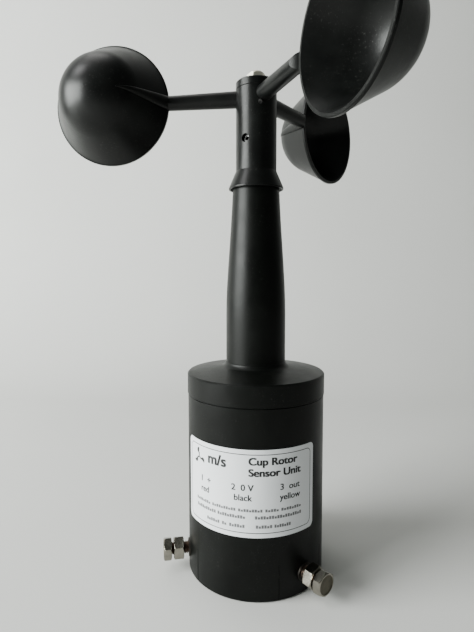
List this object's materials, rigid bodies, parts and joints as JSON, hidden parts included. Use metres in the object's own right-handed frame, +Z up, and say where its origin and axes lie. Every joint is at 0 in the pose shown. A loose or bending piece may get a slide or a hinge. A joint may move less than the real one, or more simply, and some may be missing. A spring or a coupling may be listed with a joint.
{
  "type": "cup anemometer",
  "caption": "Wind speed sensor with a cup rotor on a hub over a tapering neck, and a round housing whose socket slips over a mast and is held by clamp bolts.",
  "frame": {"origin": "centre of the mast socket's mouth, in the plane of the housing's lower rim", "axes": "+Z up along the spindle, -Y towards the label side, +X to the right of the label"},
  "size_m": [0.1652, 0.1818, 0.263],
  "materials": {
    "black_housing": "matt moulded plastic with a fine grain",
    "black_rotor": "satin moulded plastic",
    "plated_steel": "zinc-plated steel, dull",
    "black_steel": "blackened steel",
    "bright_steel": "ground bearing steel",
    "brass": "turned brass",
    "insert_metal": "darkened turned metal",
    "seal_rubber": "nitrile rubber",
    "label_film": "satin silver-white film",
    "board_laminate": "green solder mask",
    "chip_black": "moulded package",
    "terminal_green": "green moulded terminal",
    "socket_metal": "nickel-plated shell",
    "carrier_plastic": "natural acetal",
    "magnet_metal": "nickel-plated magnets",
    "lead_red": "PVC insulation",
    "lead_black": "PVC insulation",
    "lead_yellow": "PVC insulation"
  },
  "bodies": {
    "base": {"housing": "black_housing", "thread_inserts": "insert_metal", "name_label": "label_film", "neck_cap": "black_housing", "cap_seal": "seal_rubber", "case_screws": "bright_steel", "upper_bearing_outer_ring": "bright_steel", "upper_bearing_shields": "bright_steel", "lower_bearing_outer_ring": "bright_steel", "lower_bearing_shields": "bright_steel", "upper_retaining_ring": "bright_steel", "lower_retaining_ring": "bright_steel", "preload_washer": "bright_steel", "circuit_board": "board_laminate", "board_pillars": "brass", "board_screws": "bright_steel", "hall_sensor": "chip_black", "terminal_block": "terminal_green", "board_chips": "chip_black", "socket_shell": "socket_metal", "socket_gasket": "seal_rubber", "socket_insert": "chip_black", "socket_pins": "brass", "socket_screws": "bright_steel", "lead_red": "lead_red", "lead_black": "lead_black", "lead_yellow": "lead_yellow"},
    "rotor": {"rotor_hub": "black_rotor", "cup_arm_1": "black_rotor", "cup_arm_2": "black_rotor", "cup_arm_3": "black_rotor", "arm_lock_screws": "black_steel", "hub_grub_screw": "black_steel", "hub_washer": "plated_steel", "cap_nut": "plated_steel", "spindle": "bright_steel", "spindle_clip": "bright_steel", "upper_bearing_inner_ring": "bright_steel", "lower_bearing_inner_ring": "bright_steel", "magnet_carrier": "carrier_plastic", "magnets": "magnet_metal", "carrier_grub_screw": "black_steel"},
    "bearing_balls": {"upper_bearing_balls": "bright_steel", "lower_bearing_balls": "bright_steel"},
    "clamp_nut_1": {"clamp_nut_1": "plated_steel"},
    "clamp_bolt_1": {"clamp_bolt_1": "plated_steel"},
    "clamp_nut_2": {"clamp_nut_2": "plated_steel"},
    "clamp_bolt_2": {"clamp_bolt_2": "plated_steel"},
    "clamp_nut_3": {"clamp_nut_3": "plated_steel"},
    "clamp_bolt_3": {"clamp_bolt_3": "plated_steel"}
  },
  "joints": [
    {"name": "rotor_spin", "type": "hinge", "parent": "base", "child": "rotor", "pos_m": [0, 0, 0.2331], "axis": [0, 0, 1], "continuous": true},
    {"name": "bearing_balls_orbit", "type": "hinge", "parent": "base", "child": "bearing_balls", "pos_m": [0, 0, 0.1865], "axis": [0, 0, 1], "continuous": true},
    {"name": "clamp_1_travel", "type": "slide", "parent": "base", "child": "clamp_nut_1", "axis": [0.9763, 0.2164, 0], "range_m": [-0.004, 0.002]},
    {"name": "clamp_1_turn", "type": "hinge", "parent": "clamp_nut_1", "child": "clamp_bolt_1", "pos_m": [-0.041, -0.00909, 0.0098], "axis": [0.9763, 0.2164, 0], "range_deg": [-1450, 730]},
    {"name": "clamp_2_travel", "type": "slide", "parent": "base", "child": "clamp_nut_2", "axis": [-0.6756, 0.7373, 0], "range_m": [-0.004, 0.002]},
    {"name": "clamp_2_turn", "type": "hinge", "parent": "clamp_nut_2", "child": "clamp_bolt_2", "pos_m": [0.02838, -0.03097, 0.0098], "axis": [-0.6756, 0.7373, 0], "range_deg": [-1450, 730]},
    {"name": "clamp_3_travel", "type": "slide", "parent": "base", "child": "clamp_nut_3", "axis": [-0.3007, -0.9537, 0], "range_m": [-0.004, 0.002]},
    {"name": "clamp_3_turn", "type": "hinge", "parent": "clamp_nut_3", "child": "clamp_bolt_3", "pos_m": [0.01263, 0.04006, 0.0098], "axis": [-0.3007, -0.9537, 0], "range_deg": [-1450, 730]}
  ],
  "couplings": [
    {"joint": "bearing_balls_orbit", "follows": "rotor_spin", "ratio": 0.3846},
    {"joint": "clamp_1_turn", "follows": "clamp_1_travel", "rad_per_m": 6283.2},
    {"joint": "clamp_2_turn", "follows": "clamp_2_travel", "rad_per_m": 6283.2},
    {"joint": "clamp_3_turn", "follows": "clamp_3_travel", "rad_per_m": 6283.2}
  ]
}
